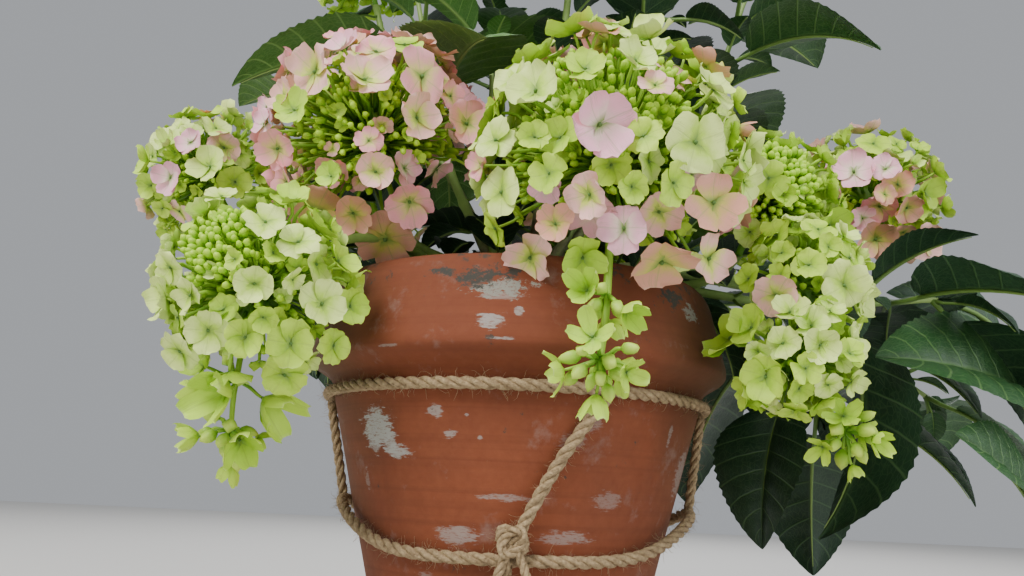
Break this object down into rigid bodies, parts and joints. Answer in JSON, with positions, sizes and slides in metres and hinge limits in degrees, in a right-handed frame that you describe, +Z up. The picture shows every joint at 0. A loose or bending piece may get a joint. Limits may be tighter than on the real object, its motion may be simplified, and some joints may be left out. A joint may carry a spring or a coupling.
{
  "type": "potted hydrangea shrub",
  "caption": "Flowering shrub with round and trailing flower heads and broad leaves, growing in a tapered terracotta pot tied round with jute rope.",
  "frame": {"origin": "centre of the pot's flat underside, on the ground", "axes": "+Z up, -Y towards the viewer of the picture, +X to that viewer's right"},
  "size_m": [0.7577, 0.555, 0.6406],
  "materials": {
    "terracotta": "matt weathered terracotta",
    "soil": "rough dark compost",
    "jute": "twisted natural fibre",
    "bark": "rough grey-brown bark",
    "green_stem": "smooth green stem",
    "blossom": "soft petals, lime green to pink",
    "foliage": "glossy dark green leaves"
  },
  "bodies": {
    "root": {"pot": "terracotta", "soil": "soil", "rope.upper-ring": "jute", "rope.lower-ring": "jute", "rope.left-drop": "jute", "rope.right-drop": "jute", "rope.diagonal": "jute", "rope.knot": "jute", "base-stem": "bark", "cane.front-dome": "green_stem", "cane.right-cascade": "green_stem", "cane.left-dome": "green_stem", "cane.left-cascade": "green_stem", "cane.back-left-dome": "green_stem", "cane.back-right-dome": "green_stem", "cane.high-left-dome": "green_stem", "cane.top-dome": "green_stem", "cane.rear-left-dome": "green_stem", "cane.rear-dome": "green_stem", "cane.rear-right-dome": "green_stem", "cane.high-left": "green_stem", "cane.upper-middle": "green_stem", "cane.upper-right": "green_stem", "cane.high-right": "green_stem", "cane.right": "green_stem", "cane.low-right": "green_stem", "cane.far-right": "green_stem", "cane.rear-left": "green_stem", "cane.rear": "green_stem", "cane.rear-right": "green_stem", "cane.high-rear": "green_stem", "cane.rear-middle": "green_stem", "cane.left-middle": "green_stem", "flowers.front-dome": "blossom", "flowers.right-cascade": "blossom", "flowers.left-dome": "blossom", "flowers.left-cascade": "blossom", "flowers.back-left-dome": "blossom", "flowers.back-right-dome": "blossom", "flowers.high-left-dome": "blossom", "flowers.top-dome": "blossom", "flowers.rear-left-dome": "blossom", "flowers.rear-dome": "blossom", "flowers.rear-right-dome": "blossom", "leaves.high-left": "foliage", "leaves.upper-middle": "foliage", "leaves.upper-right": "foliage", "leaves.high-right": "foliage", "leaves.right": "foliage", "leaves.low-right": "foliage", "leaves.far-right": "foliage", "leaves.rear-left": "foliage", "leaves.rear": "foliage", "leaves.rear-right": "foliage", "leaves.high-rear": "foliage", "leaves.rear-middle": "foliage", "leaves.left-middle": "foliage"}
  },
  "joints": []
}
